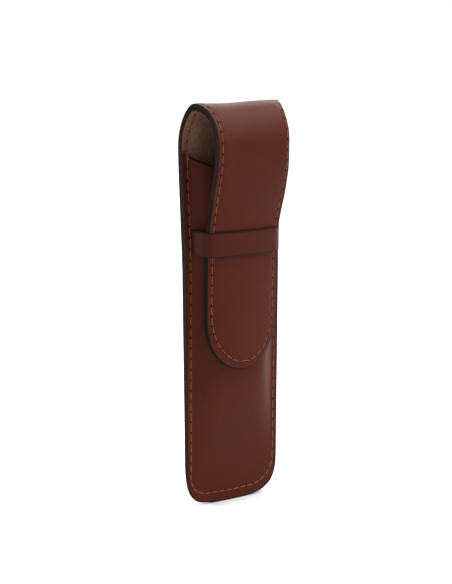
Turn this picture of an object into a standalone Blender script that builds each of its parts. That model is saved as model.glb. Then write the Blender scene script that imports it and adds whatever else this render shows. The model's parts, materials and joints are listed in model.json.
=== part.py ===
"""Tall leather pen case with a fold-over flap whose tongue slips under a keeper strap.

The case stands on its bottom seam with the flap towards -Y. One long strip of lined leather makes
the back, the crown, the flap and the tongue. A moulded front panel is sewn to it as the pocket.
Lengths are in metres and angles in degrees.
"""
import math

import bmesh
import bpy
from mathutils import Vector

# The whole case
HEIGHT = 0.165
BODY_WIDTH = 0.0412
CORNER_RADIUS = 0.012
FLAP_INSET = 0.0060
TONGUE_REACH = 0.0464
TONGUE_ROUND = 0.0205

# Thicknesses, and the clearance between faces that touch
STRIP_LEATHER = 0.0015
STRIP_LINING = 0.0009
PANEL_LEATHER = 0.0016
STRAP_LEATHER = 0.0015
THREAD_RADIUS = 0.00025
GAP = 0.0003
THREAD_GAP = 0.0002

# Side profile of the strip's outer face: depths are measured forward from the flat of the back,
# drops downward from the top of the crown
REAR_DROP = 0.0140
REAR_BULGE = 0.0014
LEAN_LENGTH = 0.0130
CROWN_DEPTH = 0.0078
FRONT_DROP = 0.0175
FRONT_DEPTH = 0.0219
TONGUE_DEPTH = 0.0131
round_share = 0.5523
lean_share = 0.4
front_fall_share = 0.45
bend_rise_share = 0.2

# Front panel of the pocket
MOUTH_DROP = 0.0187
MOUTH_SCOOP = 0.0062
WALL_INSET = 0.0012
WALL_RUN = 0.0035
SWELL_START = 0.010
SWELL_LENGTH = 0.045

# Keeper strap
STRAP_DROP = 0.0489
STRAP_WIDTH = 0.0097
STRAP_INSET = 0.0015
STRAP_BEND = 0.0022

# Stitch lines, from the edge that they follow
SEAM_MARGIN = 0.0019
SEAM_BOTTOM_MARGIN = 0.0044
SEAM_CORNER_RADIUS = 0.010
FLAP_MARGIN = 0.0014
TIP_MARGIN = 0.0029
TONGUE_SEAM_ROUND = 0.0180
SEAM_TOP_DROP = 0.0008
TACK_LENGTH = 0.0018
TACK_DROP = 0.0012

# Bends of the flap: the tongue is drawn up while the front of the flap bows out
FLAP_SWING = 55.0
BEND_ABOVE_STRAP = 0.0020
BEND_GAP = 0.0004

# Fineness of the faceting
CURVE_STEP = 0.0016
CURVE_SAMPLES = 40
ARC_STEPS = 8
PANEL_ROWS = 22
WALL_COLUMNS = 7
CUT_OVERRUN = 0.002
MERGE_DISTANCE = 0.000003
SHARP_ANGLE = 35.0

# Worked out from the sizes above
HALF_BODY = BODY_WIDTH / 2
HALF_FLAP = HALF_BODY - FLAP_INSET
REAR_HEIGHT = HEIGHT - REAR_DROP
FRONT_HEIGHT = HEIGHT - FRONT_DROP
LEAN_HEIGHT = REAR_HEIGHT - LEAN_LENGTH
MOUTH_HEIGHT = HEIGHT - MOUTH_DROP
STRAP_HIGH = HEIGHT - STRAP_DROP
STRAP_LOW = STRAP_HIGH - STRAP_WIDTH
STRAP_LEG = HALF_BODY - SEAM_MARGIN - STRAP_INSET
WALL_FOOT = STRAP_LEG - WALL_INSET
WALL_SHOULDER = WALL_FOOT - WALL_RUN
TIP_HEIGHT = STRAP_LOW - TONGUE_REACH
STRIP_THICKNESS = STRIP_LEATHER + GAP + STRIP_LINING
LINING_NEAR = STRIP_LEATHER + GAP
PIVOT_DEPTH = STRIP_LEATHER + GAP / 2
FLANGE_DEPTH = STRIP_THICKNESS + GAP + PANEL_LEATHER
SWELL = TONGUE_DEPTH - STRIP_THICKNESS - GAP - FLANGE_DEPTH
BACK_Y = (FRONT_DEPTH - REAR_BULGE) / 2
BEND_HEIGHT = STRAP_HIGH + BEND_ABOVE_STRAP
THREAD_RISE = THREAD_GAP + THREAD_RADIUS

LEATHER_BROWN = (0.087, 0.022, 0.016, 1.0)
STRAP_BROWN = (0.080, 0.021, 0.015, 1.0)
SUEDE_BEIGE = (0.210, 0.120, 0.080, 1.0)
THREAD_RUST = (0.250, 0.075, 0.028, 1.0)


def clear_scene():
    for item in list(bpy.data.objects):
        bpy.data.objects.remove(item, do_unlink=True)


def finish(name, colour, roughness):
    material = bpy.data.materials.new(name)
    material.use_nodes = True
    shader = material.node_tree.nodes["Principled BSDF"]
    shader.inputs["Base Color"].default_value = colour
    shader.inputs["Roughness"].default_value = roughness
    shader.inputs["Metallic"].default_value = 0.0
    return material


def smooth_step(share):
    share = min(1.0, max(0.0, share))
    return share * share * (3 - 2 * share)


def ease(start, end, share):
    return start + (end - start) * smooth_step(share)


def bezier(knots, share):
    rest = 1 - share
    weights = (rest ** 3, 3 * rest ** 2 * share, 3 * rest * share ** 2, share ** 3)
    return sum((knot * weight for knot, weight in zip(knots, weights)), Vector((0, 0)))


def strip_knots():
    """The outer face of the strip as Bezier runs of (y, z) points, from the back over to the tongue"""
    rear_y = BACK_Y + REAR_BULGE
    crown_y = BACK_Y - CROWN_DEPTH
    front_y = BACK_Y - FRONT_DEPTH
    tongue_y = BACK_Y - TONGUE_DEPTH
    lean = (REAR_HEIGHT - LEAN_HEIGHT) * lean_share
    fall = FRONT_HEIGHT - BEND_HEIGHT
    return [
        [
            (BACK_Y, LEAN_HEIGHT),
            (BACK_Y, LEAN_HEIGHT + lean),
            (rear_y, REAR_HEIGHT - lean),
            (rear_y, REAR_HEIGHT),
        ],
        [
            (rear_y, REAR_HEIGHT),
            (rear_y, REAR_HEIGHT + (HEIGHT - REAR_HEIGHT) * round_share),
            (crown_y + (rear_y - crown_y) * round_share, HEIGHT),
            (crown_y, HEIGHT),
        ],
        [
            (crown_y, HEIGHT),
            (crown_y + (front_y - crown_y) * round_share, HEIGHT),
            (front_y, FRONT_HEIGHT + (HEIGHT - FRONT_HEIGHT) * round_share),
            (front_y, FRONT_HEIGHT),
        ],
        [
            (front_y, FRONT_HEIGHT),
            (front_y, FRONT_HEIGHT - fall * front_fall_share),
            (tongue_y, BEND_HEIGHT + fall * bend_rise_share),
            (tongue_y, BEND_HEIGHT),
        ],
    ]


class StripLine:
    """The strip's outer face seen from the side, measured by the arc length from the bottom edge"""

    def __init__(self):
        self.points = [Vector((BACK_Y, 0)), Vector((BACK_Y, LEAN_HEIGHT))]
        ends = []
        for run in strip_knots():
            knots = [Vector(knot) for knot in run]
            self.points += [bezier(knots, (i + 1) / CURVE_SAMPLES) for i in range(CURVE_SAMPLES)]
            ends.append(len(self.points) - 1)
        self.points.append(Vector((BACK_Y - TONGUE_DEPTH, TIP_HEIGHT)))
        self.arcs = [0.0]
        for before, after in zip(self.points, self.points[1:]):
            self.arcs.append(self.arcs[-1] + (after - before).length)
        self.lean = self.arcs[1]
        self.rear, self.crown, self.front, self.bend = (self.arcs[i] for i in ends)
        self.tip = self.arcs[-1]

    def raw(self, arc):
        arc = min(self.tip, max(0.0, arc))
        for i in range(1, len(self.arcs)):
            if arc <= self.arcs[i]:
                share = (arc - self.arcs[i - 1]) / (self.arcs[i] - self.arcs[i - 1])
                return self.points[i - 1].lerp(self.points[i], share)
        return self.points[-1]

    def at(self, arc, depth):
        """The (y, z) point this deep under the outer face; a negative depth stands proud of it"""
        reach = CURVE_STEP / 2
        along = (self.raw(arc + reach) - self.raw(arc - reach)).normalized()
        inward = Vector((-along.y, along.x))
        return self.raw(arc) + inward * depth

    def arc_where(self, measure, target, low, high):
        """The arc length between low and high at which a steadily falling measure meets its target"""
        for _ in range(CURVE_SAMPLES):
            middle = (low + high) / 2
            if measure(middle) > target:
                low = middle
            else:
                high = middle
        return (low + high) / 2


LINE = StripLine()
TONGUE_Y = BACK_Y - TONGUE_DEPTH + PIVOT_DEPTH


def pivot_y(arc):
    return LINE.at(arc, PIVOT_DEPTH).x


def pivot_height(arc):
    return LINE.at(arc, PIVOT_DEPTH).y


# The top fold lies straight above the low one and the middle fold halfway between, equally far from
# both. With turns of 1 to -2 to 1 the tongue then moves straight up, without tilting.
TOP_BEND_ARC = LINE.arc_where(pivot_y, TONGUE_Y, LINE.crown, LINE.front)
TOP_BEND = LINE.at(TOP_BEND_ARC, PIVOT_DEPTH)
MIDDLE_HEIGHT = (TOP_BEND.y + BEND_HEIGHT) / 2
MIDDLE_BEND_ARC = LINE.arc_where(pivot_height, MIDDLE_HEIGHT, TOP_BEND_ARC, LINE.bend)
MIDDLE_BEND = LINE.at(MIDDLE_BEND_ARC, PIVOT_DEPTH)
LOW_BEND = Vector((TONGUE_Y, BEND_HEIGHT))


def half_width(arc):
    """Half the strip's width: round bottom corners, full body, narrowing over the crown, round tip"""
    if arc < CORNER_RADIUS:
        rise = CORNER_RADIUS - arc
        return HALF_BODY - CORNER_RADIUS + math.sqrt(CORNER_RADIUS ** 2 - rise ** 2)
    if arc < LINE.front:
        return ease(HALF_BODY, HALF_FLAP, (arc - LINE.rear) / (LINE.front - LINE.rear))
    rise = TONGUE_ROUND - (LINE.tip - arc)
    if rise > 0:
        return HALF_FLAP * math.sqrt(max(0.0, 1 - (rise / TONGUE_ROUND) ** 2))
    return HALF_FLAP


def seam_half_width(arc):
    """Half the distance between the two stitch lines along the strip, above the bottom corners"""
    margin = ease(SEAM_MARGIN, FLAP_MARGIN, (arc - LINE.rear) / (LINE.front - LINE.rear))
    if arc < LINE.front:
        return half_width(arc) - margin
    return HALF_FLAP - FLAP_MARGIN


def quarter(steps):
    """Shares of a quarter turn, as (sine, cosine) pairs from 0 to 90 degrees"""
    turns = (math.pi / 2 * i / steps for i in range(steps + 1))
    return [(math.sin(turn), math.cos(turn)) for turn in turns]


def stations(start, end):
    """Arc lengths where the strip needs a cross edge: its ends, its corners and its curves"""
    arcs = [start, end]
    arcs += [CORNER_RADIUS * (1 - cosine) for sine, cosine in quarter(ARC_STEPS)]
    steps = math.ceil((LINE.bend - LINE.lean) / CURVE_STEP)
    arcs += [LINE.lean + (LINE.bend - LINE.lean) * i / steps for i in range(steps + 1)]
    arcs += [LINE.tip - TONGUE_ROUND * (1 - sine) for sine, cosine in quarter(ARC_STEPS)]
    kept = sorted(arc for arc in arcs if start <= arc <= end)
    wanted = [kept[0]]
    for arc in kept[1:]:
        if arc - wanted[-1] > GAP or arc == end:
            wanted.append(arc)
    return wanted


class Bend:
    """A fold line of the flap: where it lies, how far it turns, and the face that closes there"""

    def __init__(self, arc, turn, closes_outside):
        self.arc = arc
        self.half_turn = math.radians(turn) / 2
        self.side = 1 if closes_outside else -1

    def setback(self, depth):
        """How far a face this deep stops short of the fold, so that both sides can turn"""
        lever = max(0.0, self.side * (PIVOT_DEPTH - depth))
        return BEND_GAP / 2 + lever * math.tan(self.half_turn)

    def thread_setback(self, depth):
        """The same for a thread whose middle line is this deep, with its whole roundness clear"""
        return self.setback(depth - self.side * THREAD_RADIUS) + THREAD_GAP


BEND_TOP = Bend(TOP_BEND_ARC, FLAP_SWING, True)
BEND_MIDDLE = Bend(MIDDLE_BEND_ARC, 2 * FLAP_SWING, False)
BEND_LOW = Bend(LINE.bend, FLAP_SWING, True)


def held_on(name, mesh_data, material, pivot):
    """A new object for the mesh; a moving piece hangs from the empty on its fold line"""
    piece = bpy.data.objects.new(name, mesh_data)
    bpy.context.scene.collection.objects.link(piece)
    piece.data.materials.append(material)
    piece.parent = pivot
    return piece


def mesh_object(name, shape, material, pivot=None):
    offset = pivot.location if pivot else Vector((0, 0, 0))
    bmesh.ops.remove_doubles(shape, verts=shape.verts, dist=MERGE_DISTANCE)
    bmesh.ops.recalc_face_normals(shape, faces=shape.faces)
    bmesh.ops.translate(shape, verts=shape.verts, vec=-offset)
    data = bpy.data.meshes.new(name)
    shape.to_mesh(data)
    shape.free()
    data.shade_smooth()
    data.set_sharp_from_angle(angle=math.radians(SHARP_ANGLE))
    return held_on(name, data, material, pivot)


def strip_layer(name, near, far, first, last, material, pivot=None):
    """One layer of the strip between two depths, from one fold line or free end to the next"""
    start = first.arc if first else 0.0
    end = last.arc if last else LINE.tip

    def arc_at(arc, depth):
        low = start + (first.setback(depth) if first else 0.0)
        high = end - (last.setback(depth) if last else 0.0)
        return low + (arc - start) * (high - low) / (end - start)

    shape = bmesh.new()
    rings = []
    for arc in stations(start, end):
        ring = []
        for depth, side in ((near, -1), (near, 1), (far, 1), (far, -1)):
            place = arc_at(arc, depth)
            point = LINE.at(place, depth)
            ring.append(shape.verts.new((side * half_width(place), point.x, point.y)))
        rings.append(ring)
    for ring, after in zip(rings, rings[1:]):
        for i in range(4):
            j = (i + 1) % 4
            shape.faces.new((ring[i], ring[j], after[j], after[i]))
    shape.faces.new(rings[0])
    shape.faces.new(rings[-1])
    return mesh_object(name, shape, material, pivot)


def tube(name, points, material, pivot=None):
    """A run of thread: a bevelled poly line with filled ends"""
    offset = pivot.location if pivot else Vector((0, 0, 0))
    data = bpy.data.curves.new(name, "CURVE")
    data.dimensions = "3D"
    data.bevel_depth = THREAD_RADIUS
    data.bevel_resolution = 1
    data.use_fill_caps = True
    spline = data.splines.new("POLY")
    spline.points.add(len(points) - 1)
    for knot, point in zip(spline.points, points):
        knot.co = (*(Vector(point) - offset), 1.0)
    return held_on(name, data, material, pivot)


def edge_run(start, end, side, depth):
    """Points of a stitch line along one edge of the strip"""
    points = []
    for arc in stations(start, end):
        point = LINE.at(arc, depth)
        points.append((side * seam_half_width(arc), point.x, point.y))
    return points


def seam_bottom(y):
    """The stitch line round the bottom of the pocket, from the left side to the right"""
    reach = HALF_BODY - SEAM_MARGIN - SEAM_CORNER_RADIUS
    level = SEAM_BOTTOM_MARGIN + SEAM_CORNER_RADIUS
    turns = quarter(ARC_STEPS)
    left = [
        (-reach - SEAM_CORNER_RADIUS * cosine, y, level - SEAM_CORNER_RADIUS * sine) for sine, cosine in turns
    ]
    right = [(-x, y, z) for x, y, z in reversed(left)]
    return left + right


def tip_run(depth):
    """The stitch line round the tongue's end, from the left side to the right"""
    reach = HALF_FLAP - FLAP_MARGIN
    level = TIP_HEIGHT + TIP_MARGIN + TONGUE_SEAM_ROUND
    y = BACK_Y - TONGUE_DEPTH + depth
    turns = quarter(ARC_STEPS)
    left = [(-reach * cosine, y, level - TONGUE_SEAM_ROUND * sine) for sine, cosine in turns]
    right = [(-x, y, z) for x, y, z in reversed(left[:-1])]
    return left + right


def mouth_height(x):
    """The scooped top edge of the front panel"""
    return MOUTH_HEIGHT - MOUTH_SCOOP * (1 - (x / HALF_BODY) ** 2)


def bottom_height(x):
    """The bottom edge of the front panel, with its round corners"""
    reach = abs(x) - (HALF_BODY - CORNER_RADIUS)
    if reach <= 0:
        return 0.0
    return CORNER_RADIUS - math.sqrt(max(0.0, CORNER_RADIUS ** 2 - reach ** 2))


def swell(x, z):
    """How far the moulded pocket stands forward of its flange"""
    across = smooth_step((WALL_FOOT - abs(x)) / (WALL_FOOT - WALL_SHOULDER))
    return SWELL * across * smooth_step((z - SWELL_START) / SWELL_LENGTH)


def panel_columns():
    """Places across the panel: fine round the corners and up the walls"""
    outer = [HALF_BODY - CORNER_RADIUS * (1 - sine) for sine, cosine in quarter(ARC_STEPS)]
    walls = [WALL_SHOULDER + (WALL_FOOT - WALL_SHOULDER) * i / WALL_COLUMNS for i in range(WALL_COLUMNS + 1)]
    half = [0.0, (HALF_BODY - CORNER_RADIUS) / 2] + [x for x in outer if abs(x) < WALL_SHOULDER] + walls
    half += [x for x in outer if x > WALL_FOOT]
    return sorted({round(side * x, 7) for x in half for side in (-1, 1)})


def front_panel(material):
    """The pocket's front: a flat sewn flange and a moulded swell, with a slit for each strap end"""
    shape = bmesh.new()
    flange_y = BACK_Y - FLANGE_DEPTH
    grid = []
    for x in panel_columns():
        low, high = bottom_height(x), mouth_height(x)
        heights = [low + (high - low) * i / PANEL_ROWS for i in range(PANEL_ROWS + 1)]
        grid.append([shape.verts.new((x, flange_y - swell(x, z), z)) for z in heights])
    for left, right in zip(grid, grid[1:]):
        for i in range(PANEL_ROWS):
            shape.faces.new((left[i], right[i], right[i + 1], left[i + 1]))
    data = bpy.data.meshes.new("front_panel")
    shape.to_mesh(data)
    shape.free()
    panel = held_on("front_panel", data, material, None)
    wall = panel.modifiers.new("leather", "SOLIDIFY")
    wall.thickness = PANEL_LEATHER
    wall.offset = -1.0
    wall.use_even_offset = True
    for side, word in ((-1, "left"), (1, "right")):
        cutter = slit_cutter(word, side)
        cut = panel.modifiers.new("slit_" + word, "BOOLEAN")
        cut.operation = "DIFFERENCE"
        cut.object = cutter
    return panel


def box_mesh(name, low, high):
    shape = bmesh.new()
    bmesh.ops.create_cube(shape, size=1.0)
    for vertex in shape.verts:
        for axis in range(3):
            vertex.co[axis] = low[axis] if vertex.co[axis] < 0 else high[axis]
    data = bpy.data.meshes.new(name)
    shape.to_mesh(data)
    shape.free()
    return data


def slit_cutter(word, side):
    flange_y = BACK_Y - FLANGE_DEPTH
    reach = STRAP_LEATHER / 2 + GAP
    ends = sorted((side * (STRAP_LEG - reach), side * (STRAP_LEG + reach)))
    low = (ends[0], flange_y - SWELL, STRAP_LOW - GAP)
    high = (ends[1], flange_y + PANEL_LEATHER + CUT_OVERRUN, STRAP_HIGH + GAP)
    name = "slit_cutter_" + word
    cutter = bpy.data.objects.new(name, box_mesh(name, low, high))
    bpy.context.scene.collection.objects.link(cutter)
    cutter.hide_render = True
    cutter.display_type = "WIRE"
    return cutter


def strap_half_path():
    """Middle line of the strap's right half, (x, y), from the slit to the middle of the tongue"""
    inside_y = BACK_Y - STRIP_THICKNESS - GAP
    flange_y = BACK_Y - FLANGE_DEPTH
    over_y = BACK_Y - TONGUE_DEPTH - THREAD_RISE - THREAD_RADIUS - GAP - STRAP_LEATHER / 2
    foot = Vector((STRAP_LEG, flange_y - STRAP_LEATHER / 2))
    corner = Vector((HALF_FLAP + GAP + STRAP_LEATHER, over_y))
    centre = Vector((corner.x - STRAP_BEND, over_y + STRAP_BEND))
    arc = [centre + Vector((cosine, -sine)) * STRAP_BEND for sine, cosine in quarter(ARC_STEPS)]
    return [Vector((STRAP_LEG, inside_y)), foot] + arc


def offset_line(points, distance):
    """The line shifted sideways, with mitred corners"""
    shifted = []
    for i, point in enumerate(points):
        before = (point - points[i - 1]).normalized() if i else None
        after = (points[i + 1] - point).normalized() if i + 1 < len(points) else None
        first = before or after
        second = after or before
        along = (first + second).normalized()
        sideways = Vector((along.y, -along.x))
        shifted.append(point + sideways * (distance / sideways.dot(Vector((first.y, -first.x)))))
    return shifted


def keeper_strap(material):
    right = strap_half_path()
    path = right + [Vector((-point.x, point.y)) for point in reversed(right)]
    outline = offset_line(path, STRAP_LEATHER / 2) + offset_line(path, -STRAP_LEATHER / 2)[::-1]
    shape = bmesh.new()
    low = [shape.verts.new((x, y, STRAP_LOW)) for x, y in outline]
    high = [shape.verts.new((x, y, STRAP_HIGH)) for x, y in outline]
    count = len(path)
    last = 2 * count - 1
    for ring in (low, high):
        for i in range(count - 1):
            shape.faces.new((ring[i], ring[i + 1], ring[last - i - 1], ring[last - i]))
    for i in range(2 * count):
        j = (i + 1) % (2 * count)
        shape.faces.new((low[i], low[j], high[j], high[i]))
    return mesh_object("keeper_strap", shape, material)


def fold_line(name, place):
    """The empty that a moving stretch of the flap turns about"""
    pivot = bpy.data.objects.new(name, None)
    bpy.context.scene.collection.objects.link(pivot)
    pivot.location = (0, place.x, place.y)
    pivot.empty_display_size = HALF_FLAP
    return pivot


def edge_threads(name, first, last, material, pivot):
    """Stitch runs on the outer and lining faces, along both edges of one stretch of the flap"""
    faces = (("outer", -THREAD_RISE), ("inner", STRIP_THICKNESS + THREAD_RISE))
    for word, depth in faces:
        start = first.arc + first.thread_setback(depth)
        end = last.arc - last.thread_setback(depth)
        for side, hand in ((-1, "left"), (1, "right")):
            title = "_".join((name, word, "thread", hand))
            tube(title, edge_run(start, end, side, depth), material, pivot)


def build():
    clear_scene()
    leather = finish("smooth_leather", LEATHER_BROWN, 0.42)
    strap_leather = finish("strap_leather", STRAP_BROWN, 0.45)
    suede = finish("suede_lining", SUEDE_BEIGE, 0.95)
    thread = finish("thread", THREAD_RUST, 0.7)

    strip_layer("back_leather", 0.0, STRIP_LEATHER, None, BEND_TOP, leather)
    strip_layer("back_lining", LINING_NEAR, STRIP_THICKNESS, None, BEND_TOP, suede)
    front_panel(leather)
    keeper_strap(strap_leather)

    outer = -THREAD_RISE
    inner = STRIP_THICKNESS + THREAD_RISE
    seam_level = SEAM_BOTTOM_MARGIN + SEAM_CORNER_RADIUS
    crown_end = BEND_TOP.arc - BEND_TOP.thread_setback(outer)
    left = edge_run(seam_level + GAP, crown_end, -1, outer)
    right = edge_run(seam_level + GAP, crown_end, 1, outer)
    tube("seam_thread_back", left[::-1] + seam_bottom(BACK_Y - outer) + right, thread)

    front_y = BACK_Y - FLANGE_DEPTH - THREAD_RISE
    seam_x = HALF_BODY - SEAM_MARGIN
    seam_top = mouth_height(seam_x) - SEAM_TOP_DROP
    bottom = seam_bottom(front_y)
    tube("seam_thread_front", [(-seam_x, front_y, seam_top)] + bottom + [(seam_x, front_y, seam_top)], thread)

    crown_start = MOUTH_HEIGHT + GAP
    inner_end = BEND_TOP.arc - BEND_TOP.thread_setback(inner)
    for side, hand in ((-1, "left"), (1, "right")):
        tube("crown_inner_thread_" + hand, edge_run(crown_start, inner_end, side, inner), thread)
        tack_x = seam_x - THREAD_RADIUS - THREAD_GAP
        reach = [side * (tack_x - TACK_LENGTH), side * tack_x]
        tube("mouth_tack_" + hand, [(x, front_y, seam_top - TACK_DROP) for x in reach], thread)

    upper = fold_line("flap_top_fold", TOP_BEND)
    strip_layer("flap_upper_leather", 0.0, STRIP_LEATHER, BEND_TOP, BEND_MIDDLE, leather, upper)
    strip_layer("flap_upper_lining", LINING_NEAR, STRIP_THICKNESS, BEND_TOP, BEND_MIDDLE, suede, upper)
    edge_threads("flap_upper", BEND_TOP, BEND_MIDDLE, thread, upper)

    lower = fold_line("flap_middle_fold", MIDDLE_BEND)
    strip_layer("flap_lower_leather", 0.0, STRIP_LEATHER, BEND_MIDDLE, BEND_LOW, leather, lower)
    strip_layer("flap_lower_lining", LINING_NEAR, STRIP_THICKNESS, BEND_MIDDLE, BEND_LOW, suede, lower)
    edge_threads("flap_lower", BEND_MIDDLE, BEND_LOW, thread, lower)

    tongue = fold_line("flap_low_fold", LOW_BEND)
    strip_layer("tongue_leather", 0.0, STRIP_LEATHER, BEND_LOW, None, leather, tongue)
    strip_layer("tongue_lining", LINING_NEAR, STRIP_THICKNESS, BEND_LOW, None, suede, tongue)
    around = tip_run(outer)
    top = BEND_HEIGHT - BEND_LOW.thread_setback(outer)
    ends = [(x, y, top) for x, y, z in (around[0], around[-1])]
    tube("tongue_outer_thread", [ends[0]] + around + [ends[1]], thread, tongue)


build()
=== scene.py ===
"""The looks of a tall leather pen case: lined strip, moulded pocket, keeper strap and stitching.

Lengths are in millimetres until a mesh is written, where MM turns them into metres. A cut piece of
leather is laid out flat first, as (x, s): x across the case, s along the piece. A lay function then
says where each flat point lies on the case, this deep under the piece's outer face.
"""
import json
import math
from collections import namedtuple

import bmesh
import bpy
import numpy as np
from mathutils import Matrix, Vector
from mathutils.geometry import delaunay_2d_cdt


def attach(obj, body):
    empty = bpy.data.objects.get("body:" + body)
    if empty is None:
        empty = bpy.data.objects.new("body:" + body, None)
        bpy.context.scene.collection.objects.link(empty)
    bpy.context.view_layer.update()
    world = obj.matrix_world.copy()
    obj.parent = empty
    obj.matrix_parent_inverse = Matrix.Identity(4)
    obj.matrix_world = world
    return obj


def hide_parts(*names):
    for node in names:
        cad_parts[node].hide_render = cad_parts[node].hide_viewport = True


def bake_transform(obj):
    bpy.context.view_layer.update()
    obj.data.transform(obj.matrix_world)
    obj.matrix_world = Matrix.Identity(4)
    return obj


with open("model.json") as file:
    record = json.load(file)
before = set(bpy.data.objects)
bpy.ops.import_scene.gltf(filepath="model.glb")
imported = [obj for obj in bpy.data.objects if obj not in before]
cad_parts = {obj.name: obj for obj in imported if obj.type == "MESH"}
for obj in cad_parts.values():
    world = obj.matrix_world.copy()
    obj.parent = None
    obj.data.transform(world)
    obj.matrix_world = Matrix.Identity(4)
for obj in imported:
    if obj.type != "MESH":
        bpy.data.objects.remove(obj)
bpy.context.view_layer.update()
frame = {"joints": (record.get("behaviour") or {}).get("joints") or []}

MM = 0.001

# The whole case
HEIGHT = 164.85
BODY_WIDTH = 41.5
FLAP_INSET = 5.1
HALF_BODY = BODY_WIDTH / 2
HALF_FLAP = HALF_BODY - FLAP_INSET
BOTTOM_BOW = 2.5

# Its two sides, which aren't alike. A corner or round has a width and a height, and is an ellipse
# at power 2 and squarer above it
Side = namedtuple("Side", "corner corner_power seam_round tongue_power bent")
RIGHT = Side(corner=(14.0, 19.1), corner_power=3.4, seam_round=(9.8, 10.6), tongue_power=2.0, bent=True)
LEFT = Side(corner=(8.6, 24.3), corner_power=3.4, seam_round=(6.2, 6.2), tongue_power=2.35, bent=False)

# The flap: it narrows from the rear of the crown to its front, and the tongue bows across its width
NARROW_LATE = 2.5
NARROW_EARLY = 9.0
TONGUE_REACH = 46.4
TONGUE_ROUND = 22.0
TONGUE_BOW = 1.9
BOW_MIDDLE = 0.66
TONGUE_DROOP = 1.2
DROOP_REACH = 30.0

# The crown: a dent in its top, and its right edge bent down round the seam
SAG_DEPTH = 0.45
SAG_X = -4.0
SAG_WIDE = 9.0
SAG_LONG = 14.0
ROLL_WIDE = 3.6
ROLL_TURN = 54.0
ROLL_START = 4.0
ROLL_RISE = 10.0
ROLL_FADE = 24.0

# Thicknesses
STRIP_LEATHER = 1.5
LINING_FAR = 2.7
BODY_EDGE = 4.6
PANEL_LEATHER = BODY_EDGE - LINING_FAR
STRAP_LEATHER = 1.2

# Towards the bottom the body is wider, its back comes forward and its layers press together
FOOT_REACH = 125.0
FOOT_SPREAD = 0.2
FOOT_LEAN = 1.7
FOOT_THIN = 2.5

# Side profile of the strip's outer face
REAR_DROP = 18.4
REAR_BULGE = 2.6
LEAN_LENGTH = 49.0
CROWN_DEPTH = 6.0
FRONT_DROP = 16.0
FRONT_DEPTH = 21.6
TONGUE_DEPTH = 13.1
BEND_HEIGHT = HEIGHT - 61.9
STRAP_HOLD = 15.0
BACK_Y = 10.25
ROUND_SHARE = 0.5523
LEAN_SHARE = 0.25
FRONT_FALL_SHARE = 0.3
BEND_RISE_SHARE = 0.5

# Front panel
MOUTH_DROP = 18.75
MOUTH_SCOOP = 7.2
WALL_FOOT = 18.2
WALL_SLOPE = 39.0
FOOT_ROUND = 1.0
SHOULDER_ROUND = 10.0
SOFT_FOOT = 2.5
SOFT_SHOULDER = 14.0
SWELL = 5.5
PANEL_BOW = 0.45
BOW_REACH = 12.0
SWELL_START = 12.0
SWELL_LENGTH = 48.0
SETTLE_START = HEIGHT - 53.0
SETTLE_LENGTH = 26.0

# Keeper strap
STRAP_HIGH = HEIGHT - 48.9
STRAP_LOW = STRAP_HIGH - 9.7
STRAP_REST = 0.12
STRAP_SIDE = 13.0
STRAP_LEG = [(18.4, 0.0), (17.6, -6.7)]
STRAP_CORNER = 3.6
STRAP_TUCK = (PANEL_LEATHER - 0.3, 0.8)
TIP_HEIGHT = STRAP_LOW - TONGUE_REACH

# Seams. Each thread is given by half its width and half its thickness
SEAM_MARGIN = 1.9
SEAM_BOTTOM = 4.4
SEAM_BOW = 1.9
SEAM_BOW_REACH = 20.0
MOUTH_HOLE = 1.3
CROWN_MARGIN = 1.3
CROWN_REACH = 9.0
FLAP_MARGIN = 2.05
TIP_MARGIN = 2.9
TONGUE_SEAM_ROUND = 19.5
SIDE_PITCH = 4.45
BOTTOM_PITCH = 3.25
FLAP_PITCH = 4.1
TIP_PITCH = 3.3
STRIP_THREAD = (0.18, 0.15)
PANEL_THREAD = (0.21, 0.17)
LINING_THREAD = (0.25, 0.26)
DASH_START = 0.07
TACK_WIDE = 0.2
TACK_SHIFTS = (-0.22, 0.24)

# Edges and dents
EDGE_ROUND = 0.45
BOND_ROUND = 0.12
PAINT_FADE = 0.2
GROOVE_DEPTH = 0.12
GROOVE_WIDTH = 0.45
HOLE_DEPTH = 0.4
HOLE_LONG = 0.40
HOLE_WIDE = 0.27
HOLE_SHADE = 1.8

# Fineness
CURVE_SAMPLES = 80
EDGE_STEP = 0.7
GRID_STEP = 1.6
COARSE_STEP = 3.0
ROUND_STEPS = 4
CORNER_STEPS = 26
CUT_ROW = 0.15
STRAP_POINTS = 25
LINE_STEP = 1.0
CELL_GAP = 0.45
NEAR_REACH = 3.0
HOLE_RINGS = ((0.55, 6), (1.15, 10), (1.9, 10))
GROOVE_SHARES = (0.38, 0.5, 0.62)
GROOVE_ROWS = (-1.3, -0.6, 0, 0.6, 1.3)
WALL_REACH = 11.7
WALL_COLUMN = 0.45
WALL_ROW = 1.3


def smooth_step(share):
    """A soft rise from 0 to 1 as the share goes from 0 to 1"""
    share = np.clip(share, 0.0, 1.0)
    return share * share * (3 - 2 * share)


def bezier(knots, share):
    """Points of a cubic curve by four knots"""
    rest = 1 - share
    weights = (rest ** 3, 3 * rest ** 2 * share, 3 * rest * share ** 2, share ** 3)
    return sum(np.outer(weight, knot) for weight, knot in zip(weights, knots))


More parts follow.
